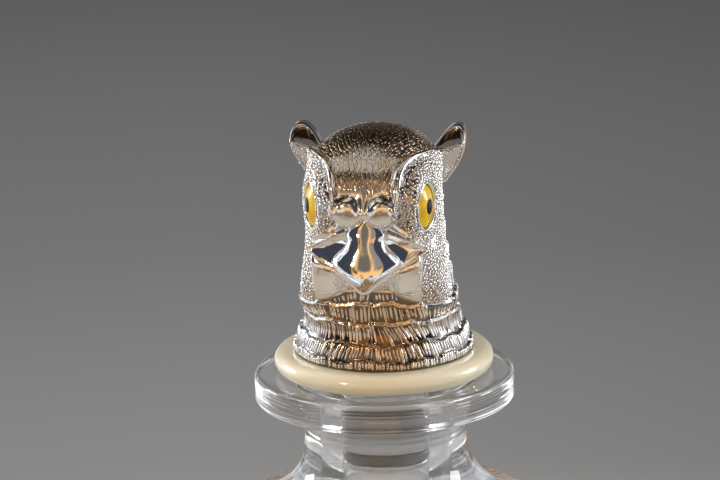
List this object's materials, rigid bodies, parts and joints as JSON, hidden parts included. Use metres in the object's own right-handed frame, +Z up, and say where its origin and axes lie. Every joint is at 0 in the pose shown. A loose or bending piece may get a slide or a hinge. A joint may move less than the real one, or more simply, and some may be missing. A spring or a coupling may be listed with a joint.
{
  "type": "spirit decanter",
  "caption": "Round clear glass decanter with a lift-out stopper: a pheasant's head in chased silver on a cream collar, yellow enamel eyes.",
  "frame": {"origin": "centre of the bottle's foot, on the surface that it stands on", "axes": "+Z up along the bottle's axis, -Y the way that the beak points, +X towards the bird's left"},
  "size_m": [0.112, 0.112, 0.2166],
  "materials": {
    "clear_glass": "clear, blown and cut smooth",
    "polished_steel": "polished",
    "seal_rubber": "smooth, black",
    "cream_resin": "glossy cream, faintly warm",
    "chased_silver": "bright silver with darkened chasing",
    "polished_silver": "mirror polish",
    "yellow_enamel": "glossy",
    "black_enamel": "glossy"
  },
  "bodies": {
    "decanter": {"glass_bottle": "clear_glass"},
    "seal_rings": {"seal_ring_lower": "seal_rubber", "seal_ring_upper": "seal_rubber"},
    "stopper": {"plug": "polished_steel", "collar": "cream_resin", "base_plate": "chased_silver", "anchor_nut": "polished_steel", "clamp_screw": "polished_steel", "screw_washer": "polished_steel", "head_shell": "chased_silver", "upper_beak": "polished_silver", "lower_beak": "polished_silver", "left_tuft": "polished_silver", "right_tuft": "polished_silver", "left_eye_bezel": "polished_silver", "right_eye_bezel": "polished_silver", "left_iris": "yellow_enamel", "right_iris": "yellow_enamel", "left_pupil": "black_enamel", "right_pupil": "black_enamel"}
  },
  "joints": [
    {"name": "stopper_lift", "type": "slide", "parent": "decanter", "child": "seal_rings", "axis": [0, 0, 1], "range_m": [0, 0.045]},
    {"name": "stopper_turn", "type": "hinge", "parent": "seal_rings", "child": "stopper", "pos_m": [0, 0, 0.16], "axis": [0, 0, 1], "continuous": true}
  ]
}
